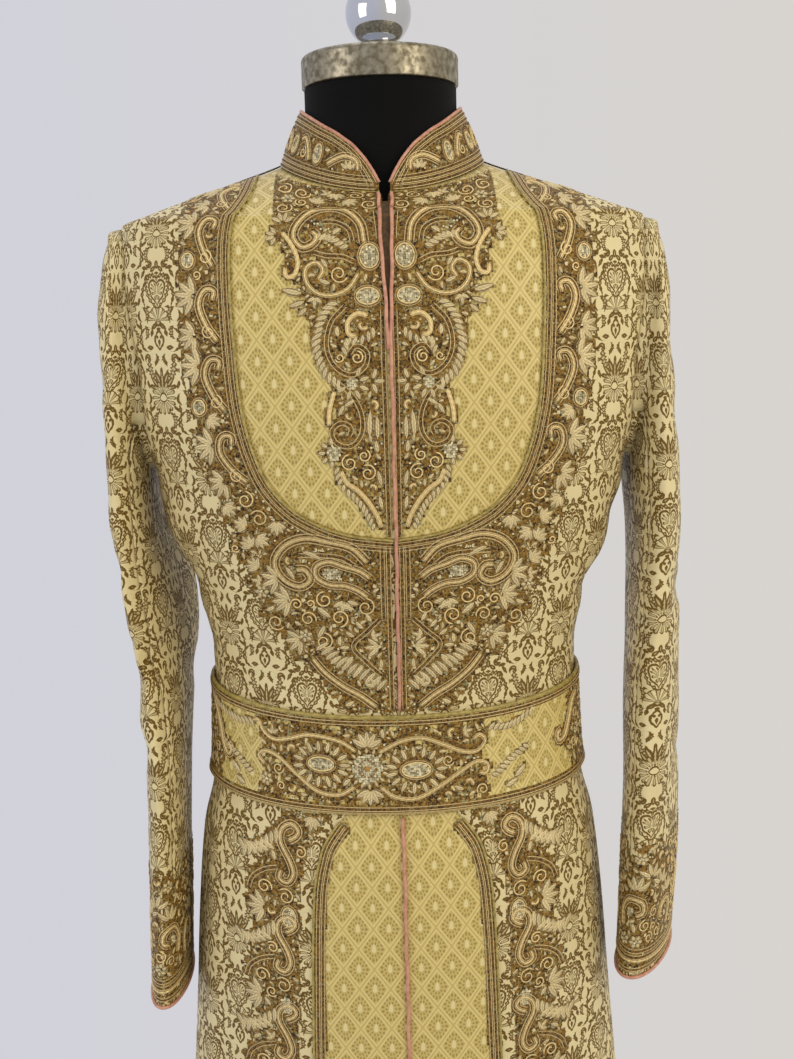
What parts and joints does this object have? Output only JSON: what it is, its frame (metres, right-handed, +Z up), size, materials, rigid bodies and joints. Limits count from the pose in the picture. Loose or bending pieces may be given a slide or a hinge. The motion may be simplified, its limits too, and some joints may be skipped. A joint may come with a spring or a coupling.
{
  "type": "sherwani coat on a limbless dress form",
  "caption": "Knee-length embroidered sherwani coat in damask and yellow brocade with its belt, worn by a limbless dress form on a round-based stand.",
  "frame": {"origin": "middle of the stand's underside, on the floor", "axes": "+Z up along the pole, -Y the coat's front, +X the viewer's right"},
  "size_m": [0.4944, 0.34, 1.596],
  "materials": {
    "damask": "champagne and olive damask with satin sheen",
    "yellow_brocade": "yellow gold brocade with a lattice of small leaves",
    "embroidery": "dense couched cord and bead embroidery",
    "piping": "salmon pink satin piping",
    "underlap_cloth": "bronze brown cloth",
    "jersey": "black matt jersey",
    "old_silver": "tarnished speckled silver",
    "chrome": "mirror polished",
    "black_steel": "semi-gloss black paint"
  },
  "bodies": {
    "root": {"front_left": "damask", "front_right": "damask", "back_left": "damask", "back_right": "damask", "top_sleeve_left": "damask", "top_sleeve_right": "damask", "under_sleeve_left": "damask", "under_sleeve_right": "damask", "chest_inset_left": "yellow_brocade", "chest_inset_right": "yellow_brocade", "skirt_inset_left": "yellow_brocade", "skirt_inset_right": "yellow_brocade", "belt": "yellow_brocade", "collar": "embroidery", "chest_binding_left": "embroidery", "chest_binding_right": "embroidery", "skirt_binding_left": "embroidery", "skirt_binding_right": "embroidery", "collar_piping": "piping", "front_piping_left": "piping", "front_piping_right_chest": "piping", "front_piping_right_skirt": "piping", "cuff_piping_left": "piping", "cuff_piping_right": "piping", "underlap": "underlap_cloth", "form_torso": "jersey", "neck_cap": "old_silver", "finial": "chrome", "pole": "black_steel", "stand_base": "black_steel"}
  },
  "joints": []
}
